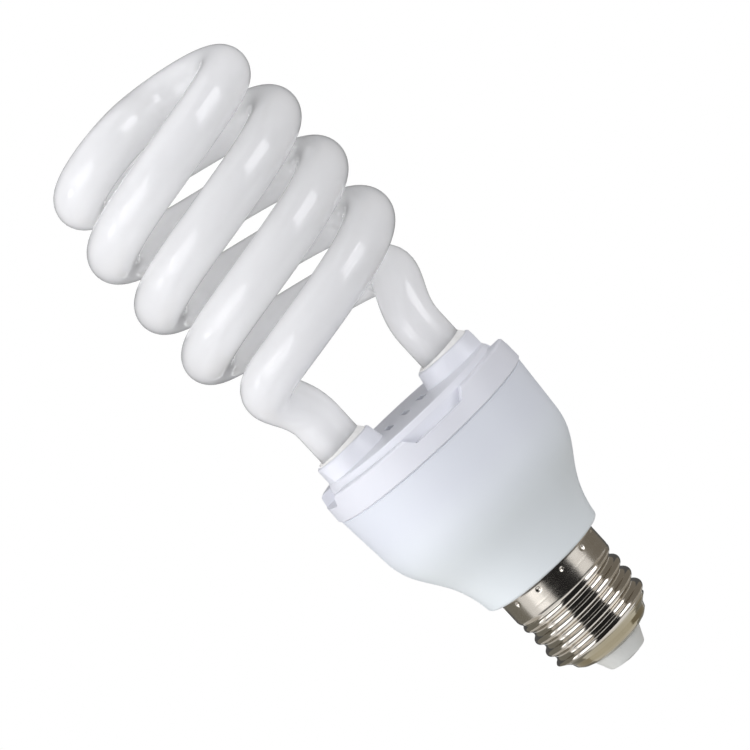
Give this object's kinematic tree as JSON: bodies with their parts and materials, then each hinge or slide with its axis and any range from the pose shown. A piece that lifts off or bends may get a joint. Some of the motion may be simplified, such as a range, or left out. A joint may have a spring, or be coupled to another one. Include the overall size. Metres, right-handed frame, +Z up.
{
  "type": "spiral compact fluorescent bulb",
  "caption": "White spiral fluorescent terrarium bulb: a coiled opal glass tube on a stepped plastic base that holds its ballast, with a screw cap.",
  "frame": {"origin": "centre of the flat end of the centre contact, the lowest point of the screw cap", "axes": "+Z up the lamp's axis from the cap to the spiral, X through the two legs of the spiral"},
  "size_m": [0.058, 0.058, 0.1647],
  "materials": {
    "opal_glass": "glossy white phosphor-coated glass",
    "lid_plastic": "satin white",
    "housing_plastic": "satin white",
    "cap_metal": "bright nickel plate",
    "insulator_white": "satin white",
    "contact_metal": "tinned",
    "cement": "matt, poured",
    "board_laminate": "matt paper laminate",
    "ferrite": "matt dark grey",
    "bobbin_nylon": "matt black",
    "copper_wire": "lacquered copper",
    "can_sleeve": "shrunk sleeve",
    "film_resin": "dipped resin",
    "moulded_black": "moulded epoxy",
    "resistor_lacquer": "lacquer",
    "thermistor_ceramic": "matt ceramic disc",
    "lead_wire": "tinned wire",
    "wire_sleeve": "insulated wire"
  },
  "bodies": {
    "root": {"ballast_board": "board_laminate", "blocking_capacitor": "film_resin", "cap_insulator": "insulator_white", "cap_shell": "cap_metal", "centre_contact": "contact_metal", "choke_bobbin": "bobbin_nylon", "choke_core_lower": "ferrite", "choke_core_upper": "ferrite", "choke_winding": "copper_wire", "fuse_resistor": "resistor_lacquer", "housing": "housing_plastic", "lid": "lid_plastic", "live_wire": "wire_sleeve", "neutral_wire": "wire_sleeve", "rectifier_diode_1": "moulded_black", "rectifier_diode_2": "moulded_black", "rectifier_diode_3": "moulded_black", "rectifier_diode_4": "moulded_black", "resistor_1": "resistor_lacquer", "resistor_2": "resistor_lacquer", "resistor_3": "resistor_lacquer", "resistor_4": "resistor_lacquer", "resistor_5": "resistor_lacquer", "resonant_capacitor": "film_resin", "smoothing_capacitor": "can_sleeve", "spiral_tube": "opal_glass", "start_thermistor": "thermistor_ceramic", "suppression_capacitor": "film_resin", "toroid_core": "ferrite", "toroid_winding_1": "copper_wire", "toroid_winding_2": "copper_wire", "toroid_winding_3": "copper_wire", "transistor_1": "moulded_black", "transistor_2": "moulded_black", "trigger_diode": "resistor_lacquer", "tube_cement_1": "cement", "tube_cement_2": "cement", "tube_lead_1": "lead_wire", "tube_lead_2": "lead_wire", "tube_lead_3": "lead_wire", "tube_lead_4": "lead_wire", "wrap_post_1": "lead_wire", "wrap_post_2": "lead_wire", "wrap_post_3": "lead_wire", "wrap_post_4": "lead_wire"}
  },
  "joints": []
}
